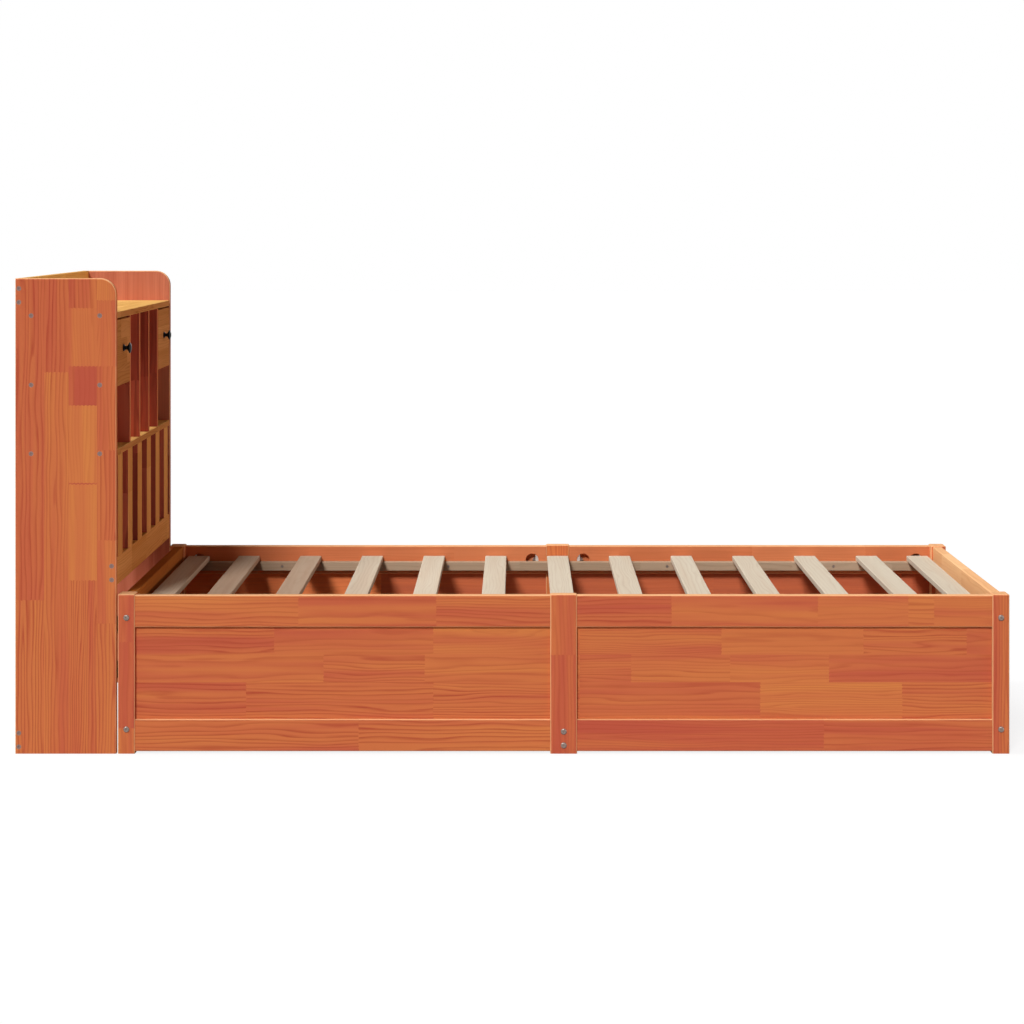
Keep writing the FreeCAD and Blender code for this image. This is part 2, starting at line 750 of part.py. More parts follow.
save("top_shelf", [headboard_board(shelf_xs, between_panels, top_shelf, ACROSS)])
save("lower_shelf", [headboard_board(shelf_xs, between_panels, lower_shelf, ACROSS)])
for number, y in enumerate(divider_places, start=1):
    save("divider_%d" % number,
         [headboard_board(shelf_xs, grown((y, y), divider_thick / 2), (lower_shelf[1], top_shelf[0]), UP)])
back_rail_xs = (back_x, back_x + back_rail_thick)
save("back_top_rail",
     [headboard_board(back_rail_xs, between_panels, (top_shelf[1], headboard_height), ACROSS)])
save("back_bottom_rail",
     [headboard_board(back_rail_xs, between_panels, (0, back_bottom_height), ACROSS)])
save("front_lower_rail",
     [headboard_board((board_front_x - front_rail_thick, board_front_x), between_panels, front_rail, ACROSS)])
headboard_slat_xs = (board_front_x - headboard_slat_thick, board_front_x)
save("headboard_slats",
     [headboard_board(headboard_slat_xs, grown((y, y), headboard_slat_width / 2),
                      (front_rail[1], lower_shelf[0]), UP) for y in headboard_slat_places])

for end, end_name in end_names:
    save("upper_%s_rail" % end_name, [end_rail(end, upper_rail)])
    save("lower_%s_rail" % end_name, [end_rail(end, lower_rail)])
    save("%s_infill" % end_name, [end_infill(end)])
save("centre_cross_rail", [centre_rail()])
save("bed_slats", bed_slats())

save("post_bolts", post_bolts)
save("barrel_nuts", barrel_nuts)
save("rail_bolts", rail_bolts)
save("rail_washers", rail_washers)
save("rail_nuts", rail_nuts)
save("panel_screws", panel_screws)
save("headboard_dowels", dowels)
save("batten_screws", batten_screws)
save("angle_brackets", brackets)
save("bracket_screws", bracket_screws)
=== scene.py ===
import math

import bpy
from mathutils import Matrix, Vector


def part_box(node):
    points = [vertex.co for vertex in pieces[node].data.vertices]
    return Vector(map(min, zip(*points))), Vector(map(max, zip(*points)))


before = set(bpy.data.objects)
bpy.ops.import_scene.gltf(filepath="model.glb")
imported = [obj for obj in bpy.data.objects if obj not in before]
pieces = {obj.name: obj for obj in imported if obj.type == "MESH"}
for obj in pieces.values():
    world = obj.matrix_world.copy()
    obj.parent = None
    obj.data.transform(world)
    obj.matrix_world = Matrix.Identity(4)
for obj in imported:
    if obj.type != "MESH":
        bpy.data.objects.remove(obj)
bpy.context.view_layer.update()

# Single bed frame with a bookcase headboard, of stained and finger-jointed pine.
# X runs from the head to the foot, Y away from the viewer, Z up, in metres.

MM = 0.001
X, Y, Z = 0, 1, 2
WHITE = "#FFFFFF"


def linear(code):
    """Linear colour of an sRGB hex code."""
    parts = [int(code[k:k + 2], 16) / 255 for k in (1, 3, 5)]
    return tuple(p / 12.92 if p <= 0.04045 else ((p + 0.055) / 1.055) ** 2.4 for p in parts) + (1.0,)


def add(tree, kind, links=None, out=0, stops=None, **options):
    """Add a node, set its options, feed its inputs with sockets or constants, and give one output."""
    node = tree.nodes.new(kind)
    for option, value in options.items():
        setattr(node, option, value)
    for socket, value in (links or {}).items():
        if isinstance(value, bpy.types.NodeSocket):
            tree.links.new(value, node.inputs[socket])
        else:
            node.inputs[socket].default_value = value
    if stops:
        steps = node.color_ramp.elements
        steps.remove(steps[1])
        steps[0].position, steps[0].color = stops[0]
        for spot, colour in stops[1:]:
            steps.new(spot).color = colour
    return node.outputs[out] if node.outputs else None


def empty_material(name):
    material = bpy.data.materials.new(name)
    material.use_nodes = True
    material.node_tree.nodes.clear()
    return material, material.node_tree


# Sizes of the pine's staves, of the blocks in a stave and of the finger joints between blocks
STAVE_WIDTH = 62 * MM
BLOCK_LENGTH = 300 * MM
FINGER_PITCH = 9 * MM
FINGER_LENGTH = 2 * MM

# Growth rings: the room from one to the next, where the pith lies, and how the rings wander and crowd
RING_WIDTH = 5 * MM
RING_RANGE = 6 * MM
PITH_SPREAD = 190 * MM
PITH_DEPTH = 60 * MM
WANDER_LENGTH = 280 * MM
WANDER_WIDTH = 48 * MM
WANDER_DETAIL = 1.5
WANDER = 30 * MM
CROWDING = 24 * MM

# Darkness across one ring, from the end of the last late wood to the end of its own
RING_PROFILE = ((0.0, 0.75), (0.1, 0.06), (0.5, 0.1), (0.72, 0.4), (0.9, 0.95), (1.0, 0.75))

# Soft bands of colour, and fibres. Real fibres are far finer: these are as coarse as they need to show.
BAND_LENGTH = 700 * MM
BAND_WIDTH = 26 * MM
FIBRE_LENGTH = 110 * MM
FIBRE_WIDTH = 2.4 * MM
STREAK_DETAIL = 2.0

# How the rings' lines fade in some bands and break along the fibres
FADE = {"From Min": 0.3, "From Max": 0.6, "To Min": 0.55, "To Max": 1.0}
BREAKS = {"From Min": 0.3, "From Max": 0.7, "To Min": 0.6, "To Max": 1.1}

# A stain that soaks in leaves no clear gloss on the wood
PINE_IOR = 1.5
PINE_GLOSS = 0.0

# Relief of the grain, the late wood's share in it, and the change of roughness along the fibres
GRAIN_RELIEF = 0.15 * MM
RELIEF_STRENGTH = 0.35
LATE_RELIEF = 0.5
SMOOTHER, ROUGHER = 0.07, 0.09

# Chance: odd steps keep boards, staves and blocks apart, and each block reads the patterns at its own spot
BOARD_STEP = 71.3
STAVE_STEP = 17.37
BLOCK_STEP = 0.37
OWN_SPOT = 29.0
BLOCK_CHANCE = 0.85

# Least tone, strength of lines and key of a block by chance, and the room above them
CHANCE_LEAST = (0.2, 0.3, 0.0)
CHANCE_ROOM = (0.6, 0.7, 1.0)

# Where a rounded edge turns from one painted-light copy of the colour to the other, by how far it looks
# across the bed: on the side boards the blend paints a highlight line along the edge
EDGE_LIGHT_TURN = {"From Min": 0.75, "From Max": 0.97}

# Stains: tones from the reddest heartwood to the palest sapwood, and the late wood's line. The wood has one
# stain; these copies of it, each for faces that look one way or for one group of boards, paint in the light
# and shade that those faces get
WAX_BROWN = ("#C55C46", "#CE6A48", "#D57749", "#D97F4A", "#DD874B"), "#B24A36"
SALMON = ("#CA744C", "#D07950", "#D47E54", "#D78257", "#DA865A"), "#BC683E"
# Clay is a lighter copy of the side colour, painted light for the far infill
LIT_CLAY = ("#C46848", "#CE6E49", "#DC784B", "#E8824F", "#F18A54"), "#BC5A3C"
# Coral is a darker copy of the side colour, painted shade for the far panel
SHADED_CORAL = ("#A4553A", "#AE5E44", "#B8674E", "#C27157", "#CC7C60"), "#A0543C"
# Rose is a darker copy of the side colour, painted shade for faces in the bays and between the uprights
ROSE = ("#8E4232", "#A64E3C", "#BC5A45", "#CE684F", "#DC765A"), "#8A3E30"
AMBER = ("#BC7841", "#C58049", "#CE8850", "#D48F55", "#DA965A"), "#A46434"
OCHRE = ("#D28A4A", "#D99252", "#DF9858", "#E39D5C", "#E7A260"), "#BC763E"
# Russet is the stain with painted shade, for the head rails' faces under the headboard
SHADED_RUSSET = ("#AC622D", "#B26730", "#B76C32", "#BB7035", "#BF7438"), "#985427"
# Peach is the stain with a painted highlight, for the tops, ends and rounded edges of the side boards
PEACH_HIGHLIGHT = ("#E3A677", "#E8AE7E", "#ECB383", "#EEB787", "#F1BB8B"), "#D8996A"
# Apricot is the stain with light painted in, for the foot boards' faces towards the head
LIT_APRICOT = ("#EBB17F", "#F0B986", "#F3BE8B", "#F5C28F", "#F7C693"), "#E0A472"
# Honey is the stain with light painted in, as on tops and ends lit from the head
LIT_HONEY = ("#DDA55D", "#E4AF65", "#E9B66B", "#ECBA6F", "#EEBE73"), "#CC9050"

# Pine that took no stain: planed, and darker under the slats, as painted shade
BARE = ("#B0917A", "#C2A68E", "#CCB8A2", "#D3C6B2", "#D7CCB9"), "#B0937A"
SHADED_BARE = ("#A58B73", "#AE947B", "#B49A81", "#B99F86", "#BEA58C"), "#8C7056"


def chance_blocks(tree, across, along, stave, shift):
    """Staves of one width, cut into blocks by chance. Gives each block's tone, strength of lines and key."""
    own = add(tree, "ShaderNodeObjectInfo", out="Random")
    row = add(tree, "ShaderNodeMath", {0: across, 1: 1 / stave, 2: shift / stave}, operation="MULTIPLY_ADD")
    row = add(tree, "ShaderNodeMath", {0: row}, operation="FLOOR")
    board_key = add(tree, "ShaderNodeMath", {0: own, 1: BOARD_STEP}, operation="MULTIPLY")
    row_key = add(tree, "ShaderNodeMath", {0: row, 1: STAVE_STEP, 2: board_key}, operation="MULTIPLY_ADD")
    run = add(tree, "ShaderNodeMath", {0: along, 1: 1 / BLOCK_LENGTH, 2: row_key},
              operation="MULTIPLY_ADD")
    block = add(tree, "ShaderNodeTexVoronoi", {"W": run, "Scale": 1.0, "Randomness": BLOCK_CHANCE},
                out="Color", voronoi_dimensions="1D")
    return add(tree, "ShaderNodeVectorMath", {0: block, 1: CHANCE_ROOM, 2: CHANCE_LEAST},
               operation="MULTIPLY_ADD")


def laid_blocks(tree, across, along, corner, staves):
    """Staves listed one by one from a corner of the board. Each has its width in mm, and its blocks as far
    end in mm, tone and strength of lines. Gives the same three values as blocks by chance."""
    picked = (0.0, 0.0, 0.0)
    edge, start = corner
    key = 0
    for width, blocks in staves:
        half = width * MM / 2
        in_stave = add(tree, "ShaderNodeMath", {0: across, 1: edge + half, 2: half}, operation="COMPARE")
        edge += 2 * half
        low = start
        for far_end, tone, lines in blocks:
            high = start + far_end * MM
            in_run = add(tree, "ShaderNodeMath", {0: along, 1: (low + high) / 2, 2: (high - low) / 2},
                         operation="COMPARE")
            inside = add(tree, "ShaderNodeMath", {0: in_stave, 1: in_run}, operation="MULTIPLY")
            key += BLOCK_STEP
            picked = add(tree, "ShaderNodeVectorMath", {0: inside, 1: (tone, lines, key), 2: picked},
                         operation="MULTIPLY_ADD")
            low = high
    return picked


def grain_streaks(tree, place, grain, length, width, own_spot, detail, out=0):
    """Soft streaks of this length and width along the grain."""
    scale = [1 / width] * 3
    scale[grain] = 1 / length
    spot = add(tree, "ShaderNodeVectorMath", {0: place, 1: scale, 2: own_spot}, operation="MULTIPLY_ADD")
    return add(tree, "ShaderNodeTexNoise", {"Vector": spot, "Scale": 1.0, "Detail": detail}, out=out)


def late_wood(tree, across, deep, luck, wander, crowd):
    """Darkness of the growth rings round a pith that lies beside or behind the block."""
    side = add(tree, "ShaderNodeMath", {0: luck[0], 1: PITH_SPREAD, 2: across}, operation="MULTIPLY_ADD")
    side = add(tree, "ShaderNodeMath", {0: side, 1: PITH_SPREAD}, operation="PINGPONG")
    deep = add(tree, "ShaderNodeMath", {0: luck[1], 1: PITH_DEPTH, 2: deep}, operation="MULTIPLY_ADD")
    deep = add(tree, "ShaderNodeMath", {0: deep, 1: PITH_DEPTH}, operation="PINGPONG")
    pith = add(tree, "ShaderNodeCombineXYZ", {0: side, 1: deep})
    radius = add(tree, "ShaderNodeVectorMath", {0: pith}, out="Value", operation="LENGTH")
    radius = add(tree, "ShaderNodeMath", {0: wander, 1: WANDER, 2: radius}, operation="MULTIPLY_ADD")
    radius = add(tree, "ShaderNodeMath", {0: crowd, 1: CROWDING, 2: radius}, operation="MULTIPLY_ADD")
    spacing = add(tree, "ShaderNodeMath", {0: luck[2], 1: RING_RANGE, 2: RING_WIDTH},
                  operation="MULTIPLY_ADD")
    ring = add(tree, "ShaderNodeMath", {0: radius, 1: spacing}, operation="DIVIDE")
    ring = add(tree, "ShaderNodeMath", {0: ring}, operation="FRACT")
    return add(tree, "ShaderNodeValToRGB", {0: ring}, stops=[
        (spot, (dark, dark, dark, 1.0)) for spot, dark in RING_PROFILE])


def side_light_share(tree, foot_like_sides):
    """Share of the side copy of the colour, which paints in the light that faces get by the way they look.
    Faces that look across the bed take it, and on some boards those that look towards the foot."""
    facing = add(tree, "ShaderNodeNewGeometry", out="Normal")
    facing = add(tree, "ShaderNodeSeparateXYZ", {0: facing}).node.outputs
    turn = add(tree, "ShaderNodeMath", {0: facing["Y"]}, operation="ABSOLUTE")
    if foot_like_sides:
        turn = add(tree, "ShaderNodeMath", {0: turn, 1: facing["X"]}, operation="MAXIMUM")
    return add(tree, "ShaderNodeMapRange", {"Value": turn, **EDGE_LIGHT_TURN})


def jointed_pine(name, grain, width, sides, faces, roughness, lines_share, bands_share=1.3,
                 foot_like_sides=False, stave=STAVE_WIDTH, shift=0.0, corner=None, staves=None):
    """Finger-jointed pine, planed and stained or left bare. The eye sees staves glued edge to edge, each made
    of short blocks that differ a little in tone, with wavy growth rings along the grain, soft bands of colour
    and fine fibres. Faces that look across the bed and the other faces can take two copies of the colour,
    with the light and shade that they get painted in. The finish soaks in, so the wood has no clear gloss of
    its own."""
    material, tree = empty_material(name)
    place = add(tree, "ShaderNodeTexCoord", out="Object")
    axes = add(tree, "ShaderNodeSeparateXYZ", {0: place}).node.outputs
    across = axes[width]
    deep = axes[X + Y + Z - grain - width]

    # Which block a point lies in, past joints that are cut as fingers
    fingers = add(tree, "ShaderNodeMath", {0: across, 1: FINGER_PITCH / 2}, operation="PINGPONG")
    along = add(tree, "ShaderNodeMath", {0: fingers, 1: 2 * FINGER_LENGTH / FINGER_PITCH, 2: axes[grain]},
                operation="MULTIPLY_ADD")
    if staves:
        block = laid_blocks(tree, across, along, corner, staves)
    else:
        block = chance_blocks(tree, across, along, stave, shift)
    tone, lines, key = add(tree, "ShaderNodeSeparateXYZ", {0: block}).node.outputs
    luck = add(tree, "ShaderNodeTexWhiteNoise", {"W": key}, out="Color", noise_dimensions="1D")
    own_spot = add(tree, "ShaderNodeVectorMath", {0: luck, "Scale": OWN_SPOT}, operation="SCALE")
    luck = add(tree, "ShaderNodeSeparateColor", {0: luck}).node.outputs

    # The figure of the block: bands, fibres and growth rings
    band = grain_streaks(tree, place, grain, BAND_LENGTH, BAND_WIDTH, own_spot, STREAK_DETAIL, out="Color")
    band = add(tree, "ShaderNodeSeparateColor", {0: band}).node.outputs
    fibre = grain_streaks(tree, place, grain, FIBRE_LENGTH, FIBRE_WIDTH, own_spot, STREAK_DETAIL)
    wander = grain_streaks(tree, place, grain, WANDER_LENGTH, WANDER_WIDTH, own_spot, WANDER_DETAIL)
    late = late_wood(tree, across, deep, luck, wander, band[2])

    # Colour by tone, in the side copy of the colour or in that of the other faces, which paint in light and
    # shade
    #     by the way a face looks
    drift = add(tree, "ShaderNodeMath", {0: band[0], 1: bands_share, 2: -bands_share / 2},
                operation="MULTIPLY_ADD")
    tone = add(tree, "ShaderNodeMath", {0: tone, 1: drift}, operation="ADD")
    side_lit = side_light_share(tree, foot_like_sides)
    (face_tones, face_line), (side_tones, side_line) = faces, sides
    face_shade, side_shade = [
        add(tree, "ShaderNodeValToRGB", {0: tone}, stops=[
            (k / (len(tones) - 1), linear(code)) for k, code in enumerate(tones)])
        for tones in (face_tones, side_tones)]
    colour = add(tree, "ShaderNodeMix", {"Factor": side_lit, "A": face_shade, "B": side_shade}, out="Result",
                 data_type="RGBA")
    late_colour = add(tree, "ShaderNodeMix", {"Factor": side_lit, "A": linear(face_line),
                                              "B": linear(side_line)}, out="Result", data_type="RGBA")

    # The late wood's lines, weaker in some bands and broken along the fibres
    fade = add(tree, "ShaderNodeMapRange", {"Value": band[1], **FADE})
    lines = add(tree, "ShaderNodeMath", {0: lines, 1: fade}, operation="MULTIPLY")
    lines = add(tree, "ShaderNodeMath", {0: lines, 1: late}, operation="MULTIPLY")
    breaks = add(tree, "ShaderNodeMapRange", {"Value": fibre, **BREAKS})
    lines = add(tree, "ShaderNodeMath", {0: lines, 1: breaks}, operation="MULTIPLY")
    lines = add(tree, "ShaderNodeMath", {0: lines, 1: lines_share}, operation="MULTIPLY")
    colour = add(tree, "ShaderNodeMix", {"Factor": lines, "A": colour, "B": late_colour}, out="Result",
                 data_type="RGBA")

    # Relief of the late wood and the fibres under the finish
    relief = add(tree, "ShaderNodeMath", {0: late, 1: LATE_RELIEF, 2: fibre}, operation="MULTIPLY_ADD")
    normal = add(tree, "ShaderNodeBump", {"Strength": RELIEF_STRENGTH, "Distance": GRAIN_RELIEF,
                                          "Height": relief}, out="Normal")
    sheen = add(tree, "ShaderNodeMapRange", {"Value": fibre, "To Min": roughness - SMOOTHER,
                                             "To Max": roughness + ROUGHER})
    surface = add(tree, "ShaderNodeBsdfPrincipled", {
        "Base Color": colour, "Roughness": sheen, "Normal": normal, "IOR": PINE_IOR,
        "Specular IOR Level": PINE_GLOSS})
    add(tree, "ShaderNodeOutputMaterial", {"Surface": surface})
    return material


# Zinc's mottling, drawn coarser than real so that it shows, its roughness, and how much metal shows
MOTTLE_SIZE = 2.5 * MM
MOTTLE_DETAIL = 3.0
MOTTLE_ENDS = 0.3, 0.7
ZINC_ROUGHNESS = {"To Min": 0.22, "To Max": 0.42}
ZINC_METAL = 0.45

# Enamel's ripple, drawn coarser than real so that it shows, its roughness and its gloss
RIPPLE_SIZE = 1.5 * MM
RIPPLE_DETAIL = 2.0
RIPPLE_ENDS = 0.35, 0.65
RIPPLE_DEPTH = 0.05 * MM
RIPPLE_STRENGTH = 0.3
ENAMEL_ROUGHNESS = {"To Min": 0.4, "To Max": 0.55}
ENAMEL_GLOSS = 0.12


def zinc_plated_steel(name, low, high):
    """Zinc-plated steel, tumbled and passivated: a dull skin on the metal, with soft mottling."""
    material, tree = empty_material(name)
    place = add(tree, "ShaderNodeTexCoord", out="Object")
    mottle = add(tree, "ShaderNodeTexNoise", {"Vector": place, "Scale": 1 / MOTTLE_SIZE,
                                              "Detail": MOTTLE_DETAIL})
    colour = add(tree, "ShaderNodeValToRGB", {0: mottle},
                 stops=list(zip(MOTTLE_ENDS, (linear(low), linear(high)))))
    dull = add(tree, "ShaderNodeMapRange", {"Value": mottle, **ZINC_ROUGHNESS})
    surface = add(tree, "ShaderNodeBsdfPrincipled", {"Base Color": colour, "Roughness": dull,
                                                     "Metallic": ZINC_METAL})
    add(tree, "ShaderNodeOutputMaterial", {"Surface": surface})
    return material


def enamel(name, low, high):
    """Stove enamel on metal: an even satin skin with a faint orange-peel ripple."""
    material, tree = empty_material(name)
    place = add(tree, "ShaderNodeTexCoord", out="Object")
    ripple = add(tree, "ShaderNodeTexNoise", {"Vector": place, "Scale": 1 / RIPPLE_SIZE,
                                              "Detail": RIPPLE_DETAIL})
    colour = add(tree, "ShaderNodeValToRGB", {0: ripple},
                 stops=list(zip(RIPPLE_ENDS, (linear(low), linear(high)))))
    satin = add(tree, "ShaderNodeMapRange", {"Value": ripple, **ENAMEL_ROUGHNESS})
    normal = add(tree, "ShaderNodeBump", {"Strength": RIPPLE_STRENGTH, "Distance": RIPPLE_DEPTH,
                                          "Height": ripple}, out="Normal")
    surface = add(tree, "ShaderNodeBsdfPrincipled", {
        "Base Color": colour, "Roughness": satin, "Normal": normal, "Specular IOR Level": ENAMEL_GLOSS})
    add(tree, "ShaderNodeOutputMaterial", {"Surface": surface})
    return material


def dress(material, *starts):
    """Give a finish to every piece whose name starts with one of these words."""
    for name, piece in pieces.items():
        if name.startswith(starts):
            for slot in piece.material_slots:
                slot.material = material


# Finishes: the copies of the colour for sides and for other faces, with light and shade painted in,
# roughness, and the share of lines and of soft bands
stained = {"sides": WAX_BROWN, "faces": LIT_HONEY, "roughness": 0.6, "lines_share": 0.9}
side_boards = {**stained, "faces": PEACH_HIGHLIGHT, "foot_like_sides": True}
far_boards = {**side_boards, "sides": SALMON, "lines_share": 0.4}
far_panel = {**far_boards, "sides": SHADED_CORAL}
far_infill = {**side_boards, "sides": LIT_CLAY}
foot_boards = {**side_boards, "faces": LIT_APRICOT}
dividers = {**stained, "sides": ROSE, "faces": SALMON, "bands_share": 0.5}
shelves = {**stained, "sides": AMBER, "foot_like_sides": True}
fronts = {**stained, "faces": AMBER, "lines_share": 0.8}
uprights = {**fronts, "sides": ROSE, "faces": OCHRE}
head_rails = {**fronts, "faces": SHADED_RUSSET}
bare = {"sides": BARE, "faces": BARE, "roughness": 0.68, "lines_share": 0.4, "bands_share": 0.5}
bare_shaded = {**bare, "sides": SHADED_BARE, "faces": SHADED_BARE}

# Each bed slat is one stave: its room along the bed, from the head, its tone, its reach and its lines. Here
# and in the table of boards listed one by one, lengths are in mm.
SLAT_ROOM = (95.0, 150.0) + 9 * (165.0,) + (148.0, 120.0)
# Low tones for the slats nearest the headboard paint its shade on them; the pale pine's lowest tones are
# browner for that shade
SLAT_TONES_WITH_SHADE = (0.46, 0.26, 0.28, 0.6, 0.64, 0.66, 0.72, 0.7, 0.76, 0.7, 0.74, 0.78, 0.72)
SLAT_REACH = 900
SLAT_LINES = 0.8

# Boards laid out one by one: the finish, the grain's axis, the axis across it, and the staves from the
# board's lowest corner on. Each stave has its width, and its blocks as far end, tone and strength of lines.
LAID_BOARDS = {
    "headboard_side_panel_left": (side_boards, Z, X, (
        (67.2, ((357, 0.55, 1.0), (1110, 0.24, 1.0))),
        (57.4, ((886, 0.62, 0.8), (1110, 0.28, 1.0))),
        (65.0, ((403, 0.5, 1.0), (626, 0.75, 0.15), (629, 0.0, 0.0), (809, 0.8, 0.3), (900, 0.08, 0.4),
                (1035, 0.62, 0.3), (1110, 0.3, 1.0))),
        (46.0, ((303, 0.6, 0.9), (496, 0.5, 0.4), (705, 0.2, 1.0), (900, 0.42, 0.6), (1053, 0.34, 0.4),
                (1110, 0.7, 0.3))))),
    # The far panel's lower blocks are darker: painted shade under the shelves
    "headboard_side_panel_right": (far_panel, Z, X, (
        (67.0, ((590, 0.4, 0.8), (900, 0.9, 0.6), (1110, 0.84, 0.8))),
        (57.0, ((620, 0.46, 0.8), (860, 0.94, 0.6), (1110, 0.8, 0.8))),
        (65.0, ((640, 0.42, 0.8), (880, 0.9, 0.6), (1110, 0.88, 0.8))),
        (47.0, ((610, 0.5, 0.8), (900, 0.94, 0.6), (1110, 0.82, 0.8))))),
    "side_infill_left": (side_boards, X, Z, (
        (92.0, ((265, 0.42, 1.0), (700, 0.48, 1.0), (1040, 0.5, 1.0), (1460, 0.48, 0.6), (1790, 0.62, 0.5),
                (2100, 0.54, 1.0))),
        (64.0, ((445, 0.5, 0.5), (680, 0.46, 0.9), (1040, 0.64, 0.6), (1160, 0.42, 0.8), (1390, 0.48, 0.6),
                (1620, 0.62, 0.4), (2100, 0.38, 0.6))),
        (80.0, ((330, 0.38, 1.0), (700, 0.48, 0.5), (1040, 0.58, 0.4), (1370, 0.5, 0.7), (1700, 0.6, 0.4),
                (1940, 0.54, 0.9), (2100, 0.34, 0.5))))),
    # The far infill gets paler towards the head: painted light on the part seen between the slats
    "side_infill_right": (far_infill, X, Z, (
        (92.0, ((340, 0.9, 0.5), (560, 0.7, 0.5), (1040, 0.3, 0.4), (1500, 0.2, 0.5), (2100, 0.1, 0.5))),
        (64.0, ((500, 0.9, 0.4), (800, 0.4, 0.5), (1040, 0.3, 0.4), (1350, 0.2, 0.5), (1700, 0.1, 0.4),
                (2100, 0.2, 0.5))),
        (80.0, ((260, 0.8, 0.5), (530, 0.8, 0.4), (1040, 0.3, 0.4), (1420, 0.2, 0.5), (2100, 0.0, 0.5))))),
    "bed_slats": (bare, Y, X, tuple(
        (room, ((SLAT_REACH, tone, SLAT_LINES),)) for room, tone in zip(SLAT_ROOM, SLAT_TONES_WITH_SHADE))),
    "upper_side_rail_left_head": (side_boards, X, Z, (
        (80.0, ((380, 0.56, 0.7), (700, 0.46, 0.6), (1000, 0.42, 0.9))),)),
    "upper_side_rail_left_foot": (side_boards, X, Z, (
        (80.0, ((220, 0.42, 0.9), (560, 0.5, 0.4), (770, 0.42, 0.4), (830, 0.64, 0.7),
                (1000, 0.54, 0.4))),)),
    "lower_side_rails_left": (side_boards, X, Z, (
        (80.0, ((520, 0.46, 0.9), (1000, 0.6, 1.0), (1600, 0.12, 0.7), (2100, 0.28, 0.9))),)),
    "head_post_left": (side_boards, Z, X, ((50.0, ((60, 0.6, 0.4), (260, 0.14, 0.4), (380, 0.36, 0.4))),)),
    "mid_post_left": (side_boards, Z, X, ((70.0, ((230, 0.14, 0.5), (380, 0.34, 0.4))),)),
    "foot_post_left": (side_boards, Z, X, ((50.0, ((380, 0.48, 1.0),)),)),
}

# The dividers are four staves each: how high their lower blocks reach, and how much these differ in tone
# Each divider's tone paints in the light of the bays beside it
DIVIDER_LIGHT_TONES = {"divider_1": 0.68, "divider_2": 0.76, "divider_3": 0.46, "divider_4": 0.42}
DIVIDER_BLOCKS = ((190, 0.05), (110, -0.06), (220, 0.04), (140, 0.06))
DIVIDER_STAVE = 62.0
DIVIDER_REACH = 320
DIVIDER_LINES = 0.8
for node, tone in DIVIDER_LIGHT_TONES.items():
    LAID_BOARDS[node] = (dividers, Z, X, tuple(
        (DIVIDER_STAVE, ((far_end, tone + change, DIVIDER_LINES),
                         (DIVIDER_REACH, tone - change, DIVIDER_LINES)))
        for far_end, change in DIVIDER_BLOCKS))

for node, (finish, grain, width, staves) in LAID_BOARDS.items():
    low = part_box(node)[0]
    dress(jointed_pine("pine_" + node, grain, width, **finish, corner=(low[width], low[grain]),
                       staves=staves), node)

# Wide staves: a rail, post or upright is a single strip, jointed along its length only. The uprights stand a
# sixth of the bed's width apart.
whole_rail = {"stave": 145 * MM, "shift": 53 * MM}
whole_post = {"stave": 2000 * MM, "shift": 1300 * MM}
whole_upright = {"stave": 955 * MM / 6}

# Several staves, glued edge to edge
glued_panel = {"shift": 35 * MM}
glued_infill = {"shift": 32 * MM}
glued_bottom = {"stave": 165 * MM, "shift": 128.75 * MM}

# Boards with blocks by chance: the material's name, the grain's axis, the axis across it, the finish, the
# staves, and the boards
CHANCE_BOARDS = (
    ("stained_pine_far_rail", X, Z, far_boards, whole_rail,
     ("upper_side_rail_right", "lower_side_rails_right")),
    ("stained_pine_far_post", Z, X, side_boards, whole_post,
     ("head_post_right", "mid_post_right", "foot_post_right")),
    ("stained_pine_shelf", Y, X, shelves, glued_panel, ("top_shelf", "lower_shelf", "drawer_shelf")),
    ("stained_pine_cross_rail", Y, Z, stained, whole_rail,
     ("back_top_rail", "back_bottom_rail", "centre_cross_rail")),
    ("stained_pine_foot_rail", Y, Z, foot_boards, whole_rail, ("upper_foot_rail", "lower_foot_rail")),
    ("stained_pine_front_rail", Y, Z, uprights, whole_rail, ("front_lower_rail",)),
    ("stained_pine_head_rail", Y, Z, head_rails, whole_rail, ("upper_head_rail", "lower_head_rail")),
    ("stained_pine_front", Y, Z, fronts, glued_infill, ("drawer_front", "head_infill")),
    ("stained_pine_foot_infill", Y, Z, foot_boards, glued_infill, ("foot_infill",)),
    ("stained_pine_upright", Z, Y, uprights, whole_upright, ("headboard_slats",)),
    ("bare_pine_drawer", Y, X, bare, glued_bottom, ("drawer_back", "drawer_bottom", "headboard_dowels")),
    ("bare_pine_side", X, Z, bare, whole_rail, ("drawer_sides",)),
    ("bare_pine_batten", X, Z, bare_shaded, whole_rail, ("slat_battens",)),
)
for name, grain, width, finish, cut, starts in CHANCE_BOARDS:
    dress(jointed_pine(name, grain, width, **finish, **cut), *starts)

# The bolts' and screws' warm, pinkish tints are painted reflection of the stained wood round them
dress(zinc_plated_steel("zinc_plated_bolt", "#7E6C64", "#988880"), "post_bolts", "barrel_nuts", "rail_bolts",
      "rail_nuts", "batten_screws", "drawer_knob_screw")
dress(zinc_plated_steel("zinc_plated_washer", "#DAD6D2", "#ECE9E6"), "rail_washers")
dress(zinc_plated_steel("zinc_plated_screw", "#886A62", "#9A7C74"), "panel_screws")
dress(enamel("brown_stove_enamel", "#5A2C18", "#66351E"), "angle_brackets", "bracket_screws")
dress(enamel("black_stove_enamel", "#08080A", "#0E0E10"), "drawer_knob_left", "drawer_knob_right")


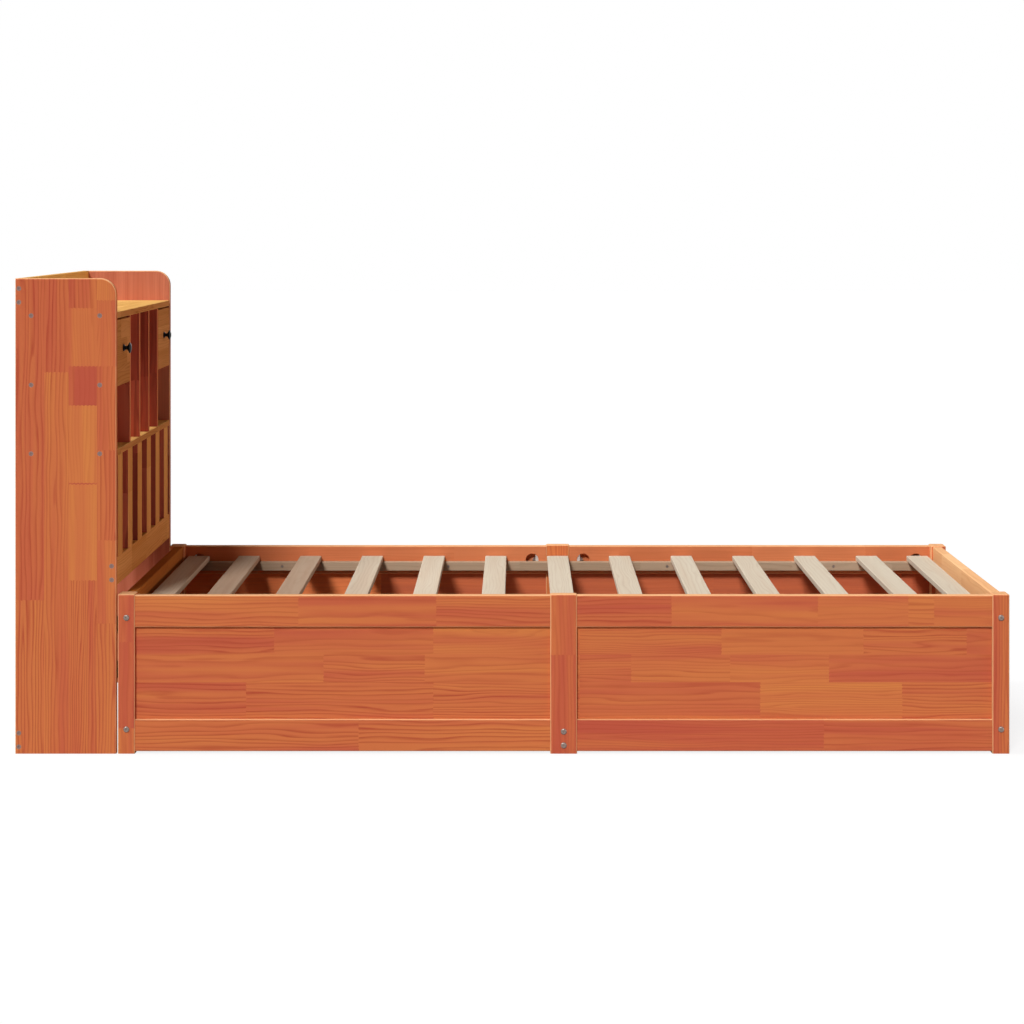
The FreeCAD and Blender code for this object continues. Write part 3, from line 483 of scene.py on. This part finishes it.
def seen_straight(tree):
    """1 for what the camera sees, also in a gloss or through glass, and 0 for light that falls on the bed."""
    path = add(tree, "ShaderNodeLightPath").node.outputs
    seen = add(tree, "ShaderNodeMath", {0: path["Is Camera Ray"], 1: path["Is Glossy Ray"]},
               operation="MAXIMUM")
    return add(tree, "ShaderNodeMath", {0: seen, 1: path["Is Transmission Ray"]}, operation="MAXIMUM")


# Half the floor's side in metres, how far it lies under the feet, how much of it is plain white, and its
# colour for the light that it throws back on the bed
FLOOR_HALF = 40.0
FLOOR_DROP = 0.5 * MM
FLOOR_WHITE = 0.86
FLOOR_BOUNCE = "#A0A0A0"


def floor():
    """White studio floor, matt, that keeps the bed's soft shadow."""
    half = FLOOR_HALF
    mesh = bpy.data.meshes.new("studio_floor")
    mesh.from_pydata([(-half, -half, 0), (half, -half, 0), (half, half, 0), (-half, half, 0)], [],
                     [(0, 1, 2, 3)])
    plane = bpy.data.objects.new("studio_floor", mesh)
    bpy.context.scene.collection.objects.link(plane)
    plane.location.z = -FLOOR_DROP
    material, tree = empty_material("white_studio_floor")
    matt = add(tree, "ShaderNodeBsdfDiffuse", {"Color": linear(FLOOR_BOUNCE)})
    shaded = add(tree, "ShaderNodeBsdfDiffuse", {"Color": linear(WHITE)})
    white = add(tree, "ShaderNodeEmission", {"Color": linear(WHITE), "Strength": 1.0})
    pale = add(tree, "ShaderNodeMixShader", {0: FLOOR_WHITE, 1: shaded, 2: white})
    both = add(tree, "ShaderNodeMixShader", {0: seen_straight(tree), 1: matt, 2: pale})
    add(tree, "ShaderNodeOutputMaterial", {"Surface": both})
    mesh.materials.append(material)


def white_room(level):
    """Even light from all round at this level, behind a white background."""
    world = bpy.data.worlds.new("white_room")
    world.use_nodes = True
    tree = world.node_tree
    tree.nodes.clear()
    strength = add(tree, "ShaderNodeMapRange", {"Value": seen_straight(tree), "To Min": level, "To Max": 1.0})
    light = add(tree, "ShaderNodeBackground", {"Color": linear(WHITE), "Strength": strength})
    add(tree, "ShaderNodeOutputWorld", {"Surface": light})
    bpy.context.scene.world = world


def soft_sun(name, towards, strength, spread, colour=WHITE):
    """Even light that travels one way, with soft shadows. The spread is in degrees."""
    lamp = bpy.data.lights.new(name, "SUN")
    lamp.energy = strength
    lamp.color = linear(colour)[:3]
    lamp.angle = math.radians(spread)
    holder = bpy.data.objects.new(name, lamp)
    holder.rotation_euler = Vector(towards).to_track_quat("-Z", "Y").to_euler()
    bpy.context.scene.collection.objects.link(holder)


def soft_box(name, place, aim, power, width, height, spread):
    """Wide soft lamp that shines on one strip and isn't seen itself. The spread is in degrees."""
    lamp = bpy.data.lights.new(name, "AREA")
    lamp.energy = power
    lamp.shape = "RECTANGLE"
    lamp.size = width
    lamp.size_y = height
    lamp.spread = math.radians(spread)
    holder = bpy.data.objects.new(name, lamp)
    holder.location = place
    holder.visible_camera = False
    holder.rotation_euler = (Vector(aim) - Vector(place)).to_track_quat("-Z", "Y").to_euler()
    bpy.context.scene.collection.objects.link(holder)


floor()
white_room(level=0.045)

# Two keys and a glow light the near side and the tops. The headboard's shadow falls on the slats by the head.
soft_sun("key_from_viewer", (0.236, 0.774, -0.588), strength=2.46, spread=12)
soft_sun("key_from_head", (0.469, 0.03, -0.883), strength=1.28, spread=28)
soft_sun("glow_from_head", (0.643, 0.0, -0.766), strength=0.7, spread=8)

# Level fills for the headboard's front and the far side
soft_sun("fill_from_foot", (-1.0, 0.05, 0.0), strength=1.5, spread=40, colour="#FFE8DC")
soft_sun("fill_from_behind", (0.02, -1.0, 0.0), strength=1.2, spread=40)

# The lower shelf's front is lit through the open back of the middle bays
soft_box("glow_in_bays", place=(-1.3, 0.0, 0.98), aim=(-0.93, 0.0, 0.70), power=0.45, width=0.5, height=0.12,
         spread=60)

# The camera is level and looks along Y. The frame is shifted down, so upright edges stay upright.
camera = bpy.data.cameras.new("photo_camera")
camera.lens = 92.04
camera.sensor_width = 36.0
camera.shift_x = -0.0059
camera.shift_y = -0.2837
viewer = bpy.data.objects.new("photo_camera", camera)
viewer.location = (0.013, -6.5525, 1.235)
viewer.rotation_euler = (math.pi / 2, 0, 0)
bpy.context.scene.collection.objects.link(viewer)
bpy.context.scene.camera = viewer
bpy.context.scene.view_settings.view_transform = "Standard"
